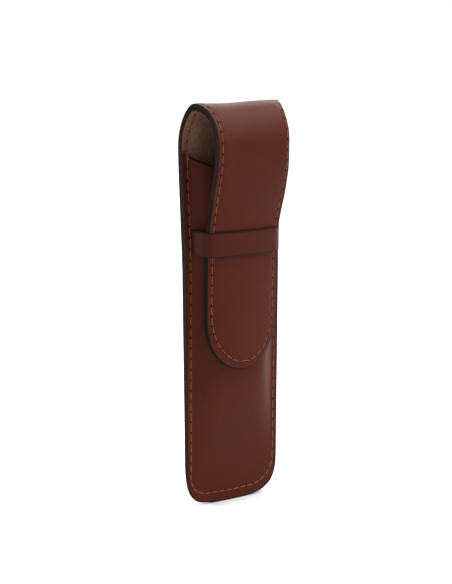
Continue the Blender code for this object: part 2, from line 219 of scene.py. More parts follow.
class StripLine:
    """The strip's outer face from the side, as (y, z) points by arc length from the bottom edge"""

    def __init__(self):
        rear_y, rear_z = BACK_Y + REAR_BULGE, HEIGHT - REAR_DROP
        crown_y = BACK_Y - CROWN_DEPTH
        front_y, front_z = BACK_Y - FRONT_DEPTH, HEIGHT - FRONT_DROP
        tongue_y = BACK_Y - TONGUE_DEPTH
        lean_z = rear_z - LEAN_LENGTH
        lean = LEAN_LENGTH * LEAN_SHARE
        fall = front_z - BEND_HEIGHT
        runs = [
            [(BACK_Y, 0), (BACK_Y, lean_z / 3), (BACK_Y, lean_z * 2 / 3), (BACK_Y, lean_z)],
            [(BACK_Y, lean_z), (BACK_Y, lean_z + lean), (rear_y, rear_z - lean), (rear_y, rear_z)],
            [
                (rear_y, rear_z),
                (rear_y, rear_z + REAR_DROP * ROUND_SHARE),
                (crown_y + (rear_y - crown_y) * ROUND_SHARE, HEIGHT),
                (crown_y, HEIGHT),
            ],
            [
                (crown_y, HEIGHT),
                (crown_y + (front_y - crown_y) * ROUND_SHARE, HEIGHT),
                (front_y, front_z + FRONT_DROP * ROUND_SHARE),
                (front_y, front_z),
            ],
            [
                (front_y, front_z),
                (front_y, front_z - fall * FRONT_FALL_SHARE),
                (tongue_y, BEND_HEIGHT + fall * BEND_RISE_SHARE),
                (tongue_y, BEND_HEIGHT),
            ],
        ]
        share = np.linspace(0, 1, CURVE_SAMPLES + 1)
        points = np.vstack([bezier(run, share)[:-1] for run in runs])
        points = np.vstack([points, (tongue_y, BEND_HEIGHT), (tongue_y, TIP_HEIGHT)])
        steps = np.linalg.norm(np.diff(points, axis=0), axis=1)
        self.arcs = np.concatenate([[0.0], np.cumsum(steps)])
        self.points = points
        along = np.gradient(points, self.arcs, axis=0)
        along[0] = along[1]
        along[-2:] = (0, -1)
        self.along = along / np.linalg.norm(along, axis=1)[:, None]
        knots = self.arcs[::CURVE_SAMPLES]
        self.rear, self.crown, self.front, self.bend = knots[2:6]
        self.hold = self.bend - STRAP_HOLD
        self.tip = self.arcs[-1]

    def at(self, arc, depth):
        """The y and z of points this deep under the outer face"""
        y, z, dy, dz = (
            np.interp(arc, self.arcs, values)
            for values in (*self.points.T, *self.along.T)
        )
        size = np.hypot(dy, dz)
        return y - dz / size * depth, z + dy / size * depth

    def nearest(self, y, z, depth):
        """The arc length of the point this deep that comes nearest to (y, z)"""
        arcs = np.linspace(self.crown, self.tip, 4000)
        line_y, line_z = self.at(arcs, depth)
        return arcs[np.argmin(np.hypot(line_y - y, line_z - z))]


LINE = StripLine()
JOINTS = {joint["name"]: [value / MM for value in joint["pos_m"]] for joint in frame["joints"]}
TOP_FOLD, MIDDLE_FOLD, LOW_FOLD = (
    JOINTS[name] for name in ("flap_top_fold", "flap_middle_fold", "flap_low_fold")
)
FOLD_ARCS = [LINE.nearest(y, z, STRIP_LEATHER) for x, y, z in (TOP_FOLD, MIDDLE_FOLD, LOW_FOLD)]
CUTS = [(FOLD_ARCS[0] + FOLD_ARCS[1]) / 2, (FOLD_ARCS[1] + FOLD_ARCS[2]) / 2]


def narrowing(s):
    """How far the strip has narrowed from the body's width to the flap's"""
    start = LINE.rear + NARROW_LATE
    return smooth_step((s - start) / (LINE.front - NARROW_EARLY - start))


def right_trim(s):
    """How much narrower the strip is cut on its right side; it is wider where its edge is bent"""
    trims = {
        LINE.rear: 0.0,
        LINE.crown - 3: -2.7,
        LINE.crown + 6: -1.85,
        LINE.front: -0.85,
        LINE.front + 9: -1.0,
        LINE.front + 22: -0.65,
        LINE.hold: 0.0,
    }
    return np.interp(s, list(trims), list(trims.values()))


def rolled(x, s, depth):
    """Where a point goes as the crown's right edge is bent, so that its seam lies on the bend"""
    rise = smooth_step((s - LINE.rear - ROLL_START) / ROLL_RISE)
    share = rise * (1 - smooth_step((s - LINE.front) / ROLL_FADE))
    turn = np.radians(ROLL_TURN) * share + 1e-4
    start = half_width(s) - right_trim(s) - ROLL_WIDE
    bend = np.maximum(x - start, 0) / ROLL_WIDE * turn
    radius = ROLL_WIDE / turn
    return np.minimum(x, start) + radius * np.sin(bend), depth + radius * (1 - np.cos(bend))


def foot_share(height):
    """How strongly the foot's shape shows at this height"""
    return 1 - smooth_step(height / FOOT_REACH)


def pressed(foot):
    """What is left of the layers' thickness"""
    return 1 - foot * FOOT_THIN / BODY_EDGE


def spread(x, foot):
    """The body is a little wider towards its foot"""
    return x * (1 + foot * FOOT_SPREAD / HALF_BODY)


def half_width(s):
    """Half the strip's width above its bottom corners and before the tongue's round end"""
    return HALF_BODY + (HALF_FLAP - HALF_BODY) * narrowing(s)


def strip_lay(x, s, depth):
    """Where a flat point of the strip lies on the case"""
    foot = foot_share(s)
    x, depth = rolled(x, s, depth)
    y, z = LINE.at(s, depth * pressed(foot))
    over = smooth_step((s - LINE.front) / (LINE.hold - LINE.front))
    across = (x / HALF_FLAP) ** 2
    bow = TONGUE_BOW * over * (BOW_MIDDLE - across)
    bow -= TONGUE_DROOP * smooth_step((s - LINE.hold) / DROOP_REACH) * across
    sag = SAG_DEPTH * np.exp(-((s - LINE.crown) / SAG_LONG) ** 2 - ((x - SAG_X) / SAG_WIDE) ** 2)
    return np.stack([spread(x, foot) + 0 * y, y - bow - foot * FOOT_LEAN, z - sag], axis=-1)


def wall_height(inside, swell, foot, shoulder):
    """How far the moulded wall has risen this far inside its foot: an arc, a slope and an arc"""
    rounds = foot + shoulder
    steepest = 1 - math.cos(math.radians(WALL_SLOPE))
    turn = np.arccos(1 - np.minimum(swell / rounds, steepest))
    sine, cosine = np.sin(turn), np.cos(turn)
    straight = (swell - rounds * (1 - cosine)) / np.maximum(sine, 1e-6) * cosine
    run = rounds * sine + straight
    inside = np.clip(inside, 0, run)
    low = foot - np.sqrt(np.maximum(foot ** 2 - inside ** 2, 0))
    high = swell - shoulder + np.sqrt(np.maximum(shoulder ** 2 - (run - inside) ** 2, 0))
    slope = foot * (1 - cosine) + (inside - foot * sine) * sine / cosine
    return np.where(inside < foot * sine, low, np.where(inside > run - shoulder * sine, high, slope))


def flange_y(z):
    """The y of the front panel's outer face where it is sewn to the back"""
    rear = LINE.points[:2 * CURVE_SAMPLES + 1]
    foot = foot_share(z)
    return np.interp(z, rear[:, 1], rear[:, 0]) - foot * FOOT_LEAN - BODY_EDGE * pressed(foot)


def panel_front(x, z):
    """How far the front panel's outer face lies forward of the case's middle plane"""
    share = smooth_step((z - SWELL_START) / SWELL_LENGTH)
    foot = FOOT_ROUND + SOFT_FOOT * (1 - share)
    shoulder = SHOULDER_ROUND + SOFT_SHOULDER * (1 - share)
    bow = PANEL_BOW * share * np.cos(np.clip(x / BOW_REACH, -1, 1) * math.pi / 2) ** 2
    behind = flange_y(z) - (BACK_Y - BODY_EDGE)
    swell = (SWELL + behind * (1 - smooth_step((z - SETTLE_START) / SETTLE_LENGTH))) * share
    return wall_height(WALL_FOOT - np.abs(x), swell, foot, shoulder) + bow - flange_y(z)


def panel_lay(x, z, depth):
    """Where a flat point of the front panel lies on the case"""
    tiny = 0.02
    front = panel_front(x, z)
    slope_x = (panel_front(x + tiny, z) - panel_front(x - tiny, z)) / (2 * tiny)
    slope_z = (panel_front(x, z + tiny) - panel_front(x, z - tiny)) / (2 * tiny)
    normal = np.stack([-slope_x, -np.ones_like(front), -slope_z], axis=-1)
    normal /= np.linalg.norm(normal, axis=-1)[..., None]
    foot = foot_share(z)
    half = PANEL_LEATHER / 2 * pressed(foot)
    middle = np.stack([spread(x, foot) + 0 * front, half - front, z + 0 * front], axis=-1)
    return middle + normal * np.asarray(half - depth * pressed(foot))[..., None]


def mouth_height(x):
    """The height of the panel's scooped mouth"""
    return HEIGHT - MOUTH_DROP - MOUTH_SCOOP * (1 - (x / HALF_BODY) ** 2)


def spaced(start, end, step):
    """Even values from start to end, about a step apart"""
    return np.linspace(start, end, max(2, int(round(abs(end - start) / step)) + 1))


def quarter_round(steps, power):
    """Cosine and sine by equal steps of a quarter turn, for a round of this power"""
    for turn in np.linspace(0, math.pi / 2, steps + 1):
        yield math.cos(turn) ** (2 / power), math.sin(turn) ** (2 / power)


def bottom_edge(side):
    """From the middle of the bowed bottom round one corner, as (x, s) points"""
    wide, tall = side.corner
    edge = [(x, 0.0) for x in spaced(0, HALF_BODY - wide, EDGE_STEP)[:-1]]
    for cosine, sine in quarter_round(CORNER_STEPS, side.corner_power):
        edge.append((HALF_BODY - wide * (1 - sine), tall * (1 - cosine)))
    return [(x, s + BOTTOM_BOW * (x / HALF_BODY) ** 2 * (1 - s / tall)) for x, s in edge]


def strip_edge(start, end, side):
    """The strip's edge on one side from one end to the other"""
    edge = bottom_edge(side)[:-1] if start == 0 else []
    low = side.corner[1] if start == 0 else start
    high = LINE.tip - TONGUE_ROUND if end == LINE.tip else end
    for s in spaced(low, high, EDGE_STEP):
        edge.append((half_width(s) - (right_trim(s) if side.bent else 0), s))
    if end == LINE.tip:
        for cosine, sine in list(quarter_round(2 * CORNER_STEPS, side.tongue_power))[1:]:
            edge.append((HALF_FLAP * cosine, high + TONGUE_ROUND * sine))
    return edge


def panel_edge(side):
    """The front panel's edge on one side and that half of its scooped mouth"""
    wall = [(HALF_BODY, z) for z in spaced(side.corner[1], mouth_height(HALF_BODY), EDGE_STEP)[1:]]
    mouth = [(x, mouth_height(x)) for x in spaced(HALF_BODY, 0, EDGE_STEP / 2)[1:]]
    return bottom_edge(side) + wall + mouth


def cut_row(right, left, inset):
    """The points across a cut between its right and left corner, without those two"""
    short = inset + PAINT_FADE
    return [(x, right[1]) for x in spaced(right[0] - short, short - left[0], LINE_STEP)]


def closed_outline(edges, inset):
    """A piece's whole outline, anticlockwise, from its right and its left half

    With it come each point's inward direction and whether it lies on a straight cut.
    """
    right, left = edges
    mirrored = [(-x, s) for x, s in reversed(left)]
    top, bottom = [], []
    if right[-1][0] > 1e-6:
        top = cut_row(right[-1], left[-1], inset)
    else:
        mirrored = mirrored[1:]
    if right[0][0] > 1e-6:
        bottom = cut_row(right[0], left[0], inset)[::-1]
    else:
        mirrored = mirrored[:-1]
    points = np.array([*right, *top, *mirrored, *bottom])
    cut = np.repeat([False, True, False, True], [len(run) for run in (right, top, mirrored, bottom)])
    along = np.roll(points, -1, axis=0) - np.roll(points, 1, axis=0)
    inward = np.stack([-along[:, 1], along[:, 0]], axis=1)
    inward /= np.linalg.norm(inward, axis=1)[:, None]
    corner = ~cut & (np.roll(cut, 1) | np.roll(cut, -1))
    inward[corner] = np.stack([-np.sign(points[corner, 0]), 0 * points[corner, 0]], axis=1)
    inward[cut] = 0
    return points, inward, cut | corner


def honeycomb(points, step):
    """Evenly spread points over the outline's box"""
    low, high = points.min(axis=0), points.max(axis=0)
    rows = []
    for i, s in enumerate(np.arange(low[1], high[1], step * math.sqrt(3) / 2)):
        shift = step / 2 if i % 2 else 0.0
        count = math.ceil((high[0] - low[0]) / step / 2)
        rows += [(step * k + shift, s) for k in range(-count, count + 1)]
    return np.array(rows)


def gap_to(points, others):
    """Each point's distance to the nearest of the others"""
    if not len(others):
        return np.full(len(points), np.inf)
    others = np.asarray(others)
    nearest = np.full(len(points), np.inf)
    for first in range(0, len(others), 200):
        apart = points[:, None, :] - others[None, first:first + 200, :]
        nearest = np.minimum(nearest, np.sqrt((apart ** 2).sum(axis=2)).min(axis=1))
    return nearest


def inside_of(points, outline):
    """Which points lie inside the closed outline"""
    x, s = points.T
    within = np.zeros(len(points), bool)
    for (ax, a), (bx, b) in zip(outline, np.roll(outline, -1, axis=0)):
        if a == b:
            continue
        crosses = ((a > s) != (b > s)) & (x < ax + (bx - ax) * (s - a) / (b - a))
        within ^= crosses
    return within


def hole_lines(holes):
    """The holes as an array, and the seam's direction at each"""
    holes = np.array(holes)
    along = np.gradient(holes, axis=0)
    return holes, along / np.linalg.norm(along, axis=1)[:, None]


def seam_points(holes):
    """Mesh points round each long hole and along the groove between holes"""
    found = []
    places, along = hole_lines(holes)
    across = np.stack([-along[:, 1], along[:, 0]], axis=1)
    for place, ahead, aside in zip(places, along, across):
        found.append(tuple(place))
        for radius, count in HOLE_RINGS:
            for i in range(count):
                turn = 2 * math.pi * (i + 0.5) / count
                reach = ahead * math.cos(turn) * HOLE_LONG + aside * math.sin(turn) * HOLE_WIDE
                found.append(tuple(place + reach * radius))
    for before, after in zip(places, places[1:]):
        step = after - before
        aside = np.array([-step[1], step[0]]) / np.hypot(*step)
        for share in GROOVE_SHARES:
            middle = before + step * share
            found += [tuple(middle + aside * GROOVE_WIDTH * row) for row in GROOVE_ROWS]
    return found


def line_gap(points, holes):
    """Each point's distance to the seam's line"""
    nearest = np.full(len(points), np.inf)
    for before, after in zip(holes, holes[1:]):
        step = np.subtract(after, before)
        share = np.clip((points - before) @ step / (step @ step), 0, 1)
        apart = points - before - share[:, None] * step
        nearest = np.minimum(nearest, np.hypot(*apart.T))
    return nearest


def triangles(loop, inner):
    """Flat points and triangles over the loop's inside; the loop's own points come first"""
    points = [Vector(point) for point in (*loop, *inner)]
    found = delaunay_2d_cdt(points, [], [list(range(len(loop)))], 1, 1e-6)
    places, faces, sources = found[0], found[2], found[3]
    order = {}
    for i, source in enumerate(sources):
        for k in source:
            order[k] = i
    if len({order[k] for k in range(len(loop))}) != len(loop) or max(order.values()) >= len(places):
        raise ValueError("outline points merged")
    kept = [order[k] for k in range(len(loop))]
    rest = [i for i in range(len(places)) if i not in set(kept)]
    index = {old: new for new, old in enumerate(kept + rest)}
    flat = np.array([places[i] for i in kept + rest])
    return flat, [[index[i] for i in face] for face in faces]


def flat_grid(outline, inward, still, seams, extra, inset, step, fine):
    """Points inside the first ring of one face, dense along its seams if it is the fine face"""
    loop = outline + inward * inset
    inner = [loop[i] + inward[i] * PAINT_FADE for i in range(len(loop)) if not still[i]]
    if fine:
        for holes in seams:
            inner += seam_points(holes)
        inner += list(extra)
        ends = outline[still]
        for s in sorted({round(float(v), 6) for v in ends[:, 1]}):
            side = 1 if s < outline[:, 1].mean() else -1
            reach = np.abs(ends[:, 0]).max() - inset - PAINT_FADE / 2
            inner += [(x, s + side * CUT_ROW) for x, v in ends if abs(v - s) < 1e-6 and abs(x) < reach]
    inner = np.array(inner)
    cells = honeycomb(outline, step)
    cells = cells[inside_of(cells, loop)]
    cells = cells[gap_to(cells, np.vstack([loop, inner])) > step * CELL_GAP]
    inner = inner[inside_of(inner, loop)]
    return triangles(loop, np.vstack([inner, cells]))


def write_mesh(name, points, faces, values, materials, sharp=60.0, kinds=None):
    """A smooth-shaded object from points in millimetres, with named values kept at its points"""
    data = bpy.data.meshes.new(name)
    data.from_pydata((points * MM).tolist(), [], faces)
    shape = bmesh.new()
    shape.from_mesh(data)
    bmesh.ops.recalc_face_normals(shape, faces=shape.faces)
    shape.to_mesh(data)
    shape.free()
    data.shade_smooth()
    data.set_sharp_from_angle(angle=math.radians(sharp))
    rest = data.attributes.new("rest", "FLOAT_VECTOR", "POINT")
    rest.data.foreach_set("vector", points.astype(np.float32).ravel())
    for key, value in values.items():
        kept = data.attributes.new(key, "FLOAT", "POINT")
        kept.data.foreach_set("value", np.asarray(value, np.float32))
    piece = bpy.data.objects.new(name, data)
    bpy.context.scene.collection.objects.link(piece)
    for material in materials:
        data.materials.append(material)
    if kinds is not None:
        data.polygons.foreach_set("material_index", kinds)
    return piece


def dents(flat, seams):
    """How deep the seams pull the leather in, and how much painted shade darkens their holes"""
    depth = np.zeros(len(flat))
    dark = np.zeros(len(flat))
    for run in seams:
        depth += GROOVE_DEPTH * np.exp(-(line_gap(flat, run) / GROOVE_WIDTH) ** 2)
        holes, along = hole_lines(run)
        apart = flat[:, None, :] - holes[None]
        ahead = (apart * along[None]).sum(axis=2) / HOLE_LONG
        aside = (apart[..., 0] * along[None, :, 1] - apart[..., 1] * along[None, :, 0]) / HOLE_WIDE
        near = (ahead ** 2 + aside ** 2).min(axis=1)
        depth += HOLE_DEPTH * np.exp(-near)
        dark = np.maximum(dark, np.exp(-(near / HOLE_SHADE) ** 1.5))
    return depth, dark


def leather(
    name, edges, lay, near, far, rounds, materials, seams=(), back_seams=(), extra=(), fine_step=0.0,
):
    """A cut piece with thickness: two faces and a rounded, painted edge between them"""
    outline, inward, still = closed_outline(edges, max(rounds))
    quarter = np.linspace(0, math.pi / 2, ROUND_STEPS + 1)
    outer, inner = rounds
    rings = [(outer * (1 - math.sin(t)), near + outer * (1 - math.cos(t))) for t in quarter]
    rings += [(inner * (1 - math.cos(t)), far - inner * (1 - math.sin(t))) for t in quarter]
    points, faces, paint, dark = [], [], [], []
    total = 0
    starts = []
    for (inset, depth), marks, fine, sign in (
        (rings[0], seams, bool(seams), 1),
        (rings[-1], back_seams, bool(back_seams), -1),
    ):
        step = fine_step or (GRID_STEP if fine else COARSE_STEP)
        flat, found = flat_grid(outline, inward, still, marks, extra, inset, step, fine)
        pulled, holes = dents(flat, marks)
        points.append(lay(flat[:, 0], flat[:, 1], depth + sign * pulled))
        faces += [[total + i for i in face] for face in found]
        shade = np.zeros(len(flat))
        shade[:len(outline)] = 0.5
        shade[:len(outline)][still] = np.where(np.abs(inward[still, 0]) > 0, 0.5, 0)
        paint.append(shade)
        dark.append(holes)
        starts.append(total)
        total += len(flat)
    middle = []
    for inset, depth in rings[1:-1]:
        ring = outline + inward * inset
        points.append(lay(ring[:, 0], ring[:, 1], np.full(len(ring), depth)))
        paint.append(np.ones(len(ring)))
        dark.append(np.zeros(len(ring)))
        middle.append(total)
        total += len(ring)
    chain = [starts[0]] + middle + [starts[1]]
    count = len(outline)
    kinds = [0] * len(faces)
    for low, high in zip(chain, chain[1:]):
        faces += [[low + i, low + (i + 1) % count, high + (i + 1) % count, high + i] for i in range(count)]
    values = {"paint": np.concatenate(paint), "hole": np.concatenate(dark)}
    kinds += [1] * (len(faces) - len(kinds))
    return write_mesh(name, np.vstack(points), faces, values, materials, kinds=kinds)


def walk(path, pitches):
    """Hole places along a line, each a pitch of its own region after the one before"""
    path = np.array(path)
    arcs = np.concatenate([[0], np.cumsum(np.hypot(*np.diff(path, axis=0).T))])
    place, holes = 0.0, []
    while place <= arcs[-1] + 1e-6:
        point = (np.interp(place, arcs, path[:, 0]), np.interp(place, arcs, path[:, 1]))
        holes.append(point)
        place += pitches(*point)
    return holes


def seam_round(reach, level, radius_x, radius_z, sign):
    """A quarter round of a seam's line, from the piece's side to its end"""
    turns = np.linspace(0, math.pi / 2, CORNER_STEPS)
    return [(reach + radius_x * math.cos(t), level + sign * radius_z * math.sin(t)) for t in turns]


def body_seam(top):
    """Holes from the top of the right side down, round the bottom and up the left side"""
    halves = []
    for side in (RIGHT, LEFT):
        wide, tall = side.seam_round
        level = SEAM_BOTTOM + tall
        half = [(HALF_BODY - SEAM_MARGIN, z) for z in spaced(top, level, LINE_STEP)]
        half += seam_round(HALF_BODY - SEAM_MARGIN - wide, level, wide, tall, -1)[1:]
        halves.append(half + [(0.0, SEAM_BOTTOM)])
    right, left = halves
    line = right + [(-x, z) for x, z in reversed(left[:-1])]
    line = [
        (x, z + SEAM_BOW * (x / HALF_BODY) ** 2 * max(0.0, 1 - z / SEAM_BOW_REACH)) for x, z in line
    ]
    limit = SEAM_BOTTOM + RIGHT.seam_round[1] - 1
    holes = walk(line, lambda x, z: SIDE_PITCH if z > limit else BOTTOM_PITCH)
    return holes if holes[-1][1] > top - 1 else holes + [line[-1]]


def seam_half(s):
    """How far the strip's seam runs from its middle line"""
    return half_width(s) - SEAM_MARGIN - (FLAP_MARGIN - SEAM_MARGIN) * narrowing(s)


def flap_seam(start):
    """Holes from the pocket's mouth up over the crown, down the flap and round the tongue's end"""
    reach = HALF_FLAP - FLAP_MARGIN
    level = LINE.tip - TIP_MARGIN - TONGUE_SEAM_ROUND
    half = [(seam_half(s), s) for s in spaced(start, level, LINE_STEP)]
    half += seam_round(0.0, level, reach, TONGUE_SEAM_ROUND, 1)[1:]
    right = walk(half, lambda x, s: FLAP_PITCH if s < level else TIP_PITCH)
    left = right[::-1]
    if right[-1][0] < TIP_PITCH * 0.35:
        right[-1] = (0.0, right[-1][1])
        left = left[1:]
    slope = (LINE.rear + LINE.crown) / 2
    left = [(CROWN_MARGIN * math.exp(-((s - slope) / CROWN_REACH) ** 2) - x, s) for x, s in left]
    return [(x - float(right_trim(s)), s) for x, s in right] + left


# A stitch by shares of its length: how deep it is sunk, in half thicknesses, and how slim it is
STITCH_SHARES = np.array([0.0, 0.04, 0.1, 0.2, 0.35, 0.5, 0.65, 0.8, 0.9, 0.96, 1.0])
STITCH_SINKS = np.array([2.6, 1.7, 0.7, -0.2, -0.55, -0.6, -0.55, -0.2, 0.7, 1.7, 2.6])
STITCH_SLIMS = np.interp(STITCH_SHARES, [0, 0.12, 0.3, 0.7, 0.88, 1], [0.7, 0.85, 1, 1, 0.85, 0.7])
STITCH_SIDES = 8
STITCH_SWING = 0.035
STITCH_LIFT = 0.08


def tube_faces(start, rows):
    """The faces and the two ends of a tube, whose rings of points follow on from this one"""
    faces = []
    for low in range(start, start + (rows - 1) * STITCH_SIDES, STITCH_SIDES):
        for j in range(STITCH_SIDES):
            k = (j + 1) % STITCH_SIDES
            faces.append([low + j, low + k, low + STITCH_SIDES + k, low + STITCH_SIDES + j])
    last = start + (rows - 1) * STITCH_SIDES
    return faces + [[first + j for j in range(STITCH_SIDES)] for first in (start, last)]


def stitches(name, pairs, lay, depth, outward, thread, material, draws):
    """One thread hump from each hole to the next, standing out of the face at this depth"""
    thread_wide, thread_thick = thread
    points, faces, along = [], [], []
    turns = np.linspace(0, 2 * math.pi, STITCH_SIDES, endpoint=False)
    rows = len(STITCH_SHARES)
    for before, after in pairs:
        step = np.subtract(after, before)
        across = np.array([-step[1], step[0]]) / np.hypot(*step)
        swing = draws.normal(0, STITCH_SWING)
        lift = 1 + draws.normal(0, STITCH_LIFT)
        start = sum(len(block) for block in points)
        shares = DASH_START + (1 - 2 * DASH_START) * STITCH_SHARES
        middle = np.add(before, np.outer(shares, step))
        middle = middle + np.outer(swing * (STITCH_SHARES - 0.5) * 2, across)
        sink = STITCH_SINKS * thread_thick * lift
        wide = np.outer(STITCH_SLIMS * thread_wide, np.cos(turns))
        thick = np.outer(STITCH_SLIMS * thread_thick, np.sin(turns))
        place = middle[:, None, :] + wide[:, :, None] * across
        deep = depth + outward * -(sink[:, None] + thick)
        block = lay(place[..., 0].ravel(), place[..., 1].ravel(), deep.ravel())
        points.append(block)
        along.append(np.repeat(STITCH_SHARES, STITCH_SIDES) * np.hypot(*step))
        faces += tube_faces(start, rows)
    turn = np.tile(np.tile(np.sin(turns), rows), len(pairs))
    values = {"along": np.concatenate(along), "turn": turn}
    return write_mesh(name, np.vstack(points), faces, values, [material], 80.0)


class Nodes:
    """A short way to write the nodes of a material or a world"""

    def __init__(self, owner, shader="Principled BSDF"):
        owner.use_nodes = True
        self.owner = owner
        self.tree = owner.node_tree
        self.shader = self.tree.nodes[shader]

    def add(self, kind, inputs=(), **settings):
        node = self.tree.nodes.new("ShaderNode" + kind)
        for key, value in settings.items():
            setattr(node, key, value)
        for key, value in dict(inputs).items():
            self.feed(node.inputs[key], value)
        return node

    def feed(self, socket, value):
        if isinstance(value, bpy.types.NodeSocket):
            self.tree.links.new(value, socket)
        else:
            socket.default_value = value

    def set(self, **values):
        for key, value in values.items():
            self.feed(self.shader.inputs[key.replace("_", " ")], value)

    def attribute(self, name, output="Fac"):
        return self.add("Attribute", attribute_name=name).outputs[output]

    def noise(self, scale, detail=2.0, roughness=0.5, distortion=0.0):
        inputs = {"Scale": scale, "Detail": detail, "Roughness": roughness, "Distortion": distortion}
        inputs["Vector"] = self.attribute("rest", "Vector")
        return self.add("TexNoise", inputs).outputs["Fac"]

    def ramp(self, value, low, high, start=0.0, end=1.0):
        inputs = {"Value": value, "From Min": low, "From Max": high, "To Min": start, "To Max": end}
        return self.add("MapRange", inputs, clamp=True).outputs["Result"]

    def math(self, kind, first, second=0.0):
        node = self.add("Math", operation=kind)
        self.feed(node.inputs[0], first)
        self.feed(node.inputs[1], second)
        return node.outputs[0]

    def mix(self, share, first, second):
        node = self.add("Mix", data_type="RGBA")
        self.feed(node.inputs["Factor"], share)
        self.feed(node.inputs[6], first)
        self.feed(node.inputs[7], second)
        return node.outputs[2]

    def seen(self):
        """1 for what the camera sees, also in a mirror, and 0 for light on its way to a surface"""
        rays = self.add("LightPath").outputs
        seen = self.math("MAXIMUM", rays["Is Camera Ray"], rays["Is Glossy Ray"])
        return self.math("MAXIMUM", seen, rays["Is Transmission Ray"])

    def bump(self, height, distance, strength, before=None):
        node = self.add("Bump", {"Height": height, "Distance": distance * MM, "Strength": strength})
        if before:
            self.feed(node.inputs["Normal"], before)
        return node.outputs["Normal"]


# Painted shade inside the stitch holes
HOLE_PAINTED_SHADE = (0.007, 0.003, 0.002, 1.0)

# Each edge material's paint, its worn tone, its deep tone and its shine
EDGE_TONES = {
    "edge_paint": ((0.0165, 0.0143, 0.014), (0.026, 0.0185, 0.0165), (0.008, 0.0065, 0.006), 0.04),
    "edge_brown": ((0.024, 0.0100, 0.0085), (0.034, 0.0130, 0.0105), (0.013, 0.006, 0.005), 0.03),
    # A darker copy of the edge paint for the tongue's edge: painted shade where it lies close over the
    # pocket
    "edge_painted_shade": ((0.0115, 0.0085, 0.008), (0.019, 0.0125, 0.011), (0.006, 0.0048, 0.0045), 0.03),
    "edge_dark": ((0.019, 0.0095, 0.0083), (0.028, 0.0135, 0.011), (0.009, 0.005, 0.0043), 0.03),
}


def leather_material(name, shade):
    """Smooth leather, this much lighter or darker than the body's; a darker copy is painted shade"""
    def toned(*color):
        return (*(channel * shade for channel in color), 1)
    n = Nodes(bpy.data.materials.new(name))
    cloud = n.noise(0.05, 3.0)
    fine = n.noise(1.4, 3.0, 0.6)
    tone = n.mix(n.ramp(cloud, 0.35, 0.65), toned(0.067, 0.0134, 0.0074), toned(0.0755, 0.0152, 0.0086))
    tone = n.mix(n.ramp(fine, 0.3, 0.7, 0.0, 0.22), tone, toned(0.0535, 0.0105, 0.0057))
    tone = n.mix(n.ramp(n.attribute("paint"), 0.0, 0.5, 0, 0.75), tone, (0.022, 0.0068, 0.0048, 1))
    # Painted shade in and round the stitch holes
    tone = n.mix(n.ramp(n.attribute("hole"), 0.2, 0.85, 0, 0.9), tone, HOLE_PAINTED_SHADE)
    pores = n.add("TexVoronoi", {"Vector": n.attribute("rest", "Vector"), "Scale": 2.6}).outputs[0]
    rough = n.ramp(n.noise(0.5, 2.0), 0.3, 0.7, 0.38, 0.46)
    normal = n.bump(n.ramp(pores, 0.0, 0.35), 0.012, 0.5)
    normal = n.bump(n.noise(0.35, 4.0, 0.6), 0.05, 0.4, normal)
    n.set(Base_Color=tone, Roughness=rough, Normal=normal)
    n.shader.inputs["Specular IOR Level"].default_value = 0.065
    return n.owner


def edge_material(name):
    """The dark paint on a cut edge, worn a little brown"""
    paint, worn_tone, deep, shine = EDGE_TONES[name]
    n = Nodes(bpy.data.materials.new(name))
    worn = n.noise(0.9, 4.0, 0.65)
    tone = n.mix(n.ramp(worn, 0.42, 0.72, 0.0, 0.8), (*paint, 1), (*worn_tone, 1))
    tone = n.mix(n.ramp(n.noise(4.0, 3.0), 0.5, 0.75, 0.0, 0.5), tone, (*deep, 1))
    n.set(Base_Color=tone, Roughness=n.ramp(worn, 0.3, 0.7, 0.5, 0.68))
    n.set(Normal=n.bump(n.noise(1.6, 4.0, 0.65), 0.08, 0.6))
    n.shader.inputs["Specular IOR Level"].default_value = shine
    return n.owner


def suede_material():
    """Napped suede, darker towards its middle deep in the loop: painted shade"""
    n = Nodes(bpy.data.materials.new("suede_lining"))
    nap = n.noise(2.2, 4.0, 0.65)
    cloud = n.noise(0.25, 3.0, 0.6, distortion=0.6)
    tone = n.mix(n.ramp(cloud, 0.35, 0.65), (0.225, 0.115, 0.073, 1), (0.32, 0.178, 0.120, 1))
    tone = n.mix(n.ramp(nap, 0.35, 0.7, 0.0, 0.5), tone, (0.125, 0.062, 0.040, 1))
    aside = n.add("SeparateXYZ", {"Vector": n.attribute("rest", "Vector")}).outputs["X"]
    tone = n.mix(n.ramp(n.noise(0.8, 3.0, 0.7), 0.42, 0.62, 0.0, 0.4), tone, (0.115, 0.056, 0.036, 1))
    # Painted shade: darker away from the strip's sides, deep inside the loop
    painted_middle_shade = n.ramp(n.math("ABSOLUTE", aside), 11.5, 15.0, 0.36, 0.0)
    tone = n.mix(painted_middle_shade, tone, (0.055, 0.025, 0.016, 1))
    # Painted shade in and round the stitch holes
    tone = n.mix(n.ramp(n.attribute("hole"), 0.3, 0.95, 0, 0.85), tone, HOLE_PAINTED_SHADE)
    n.set(Base_Color=tone, Roughness=0.95, Normal=n.bump(nap, 0.12, 0.7))
    n.shader.inputs["Sheen Weight"].default_value = 0.12
    n.shader.inputs["Sheen Roughness"].default_value = 0.5
    n.shader.inputs["Specular IOR Level"].default_value = 0.1
    return n.owner


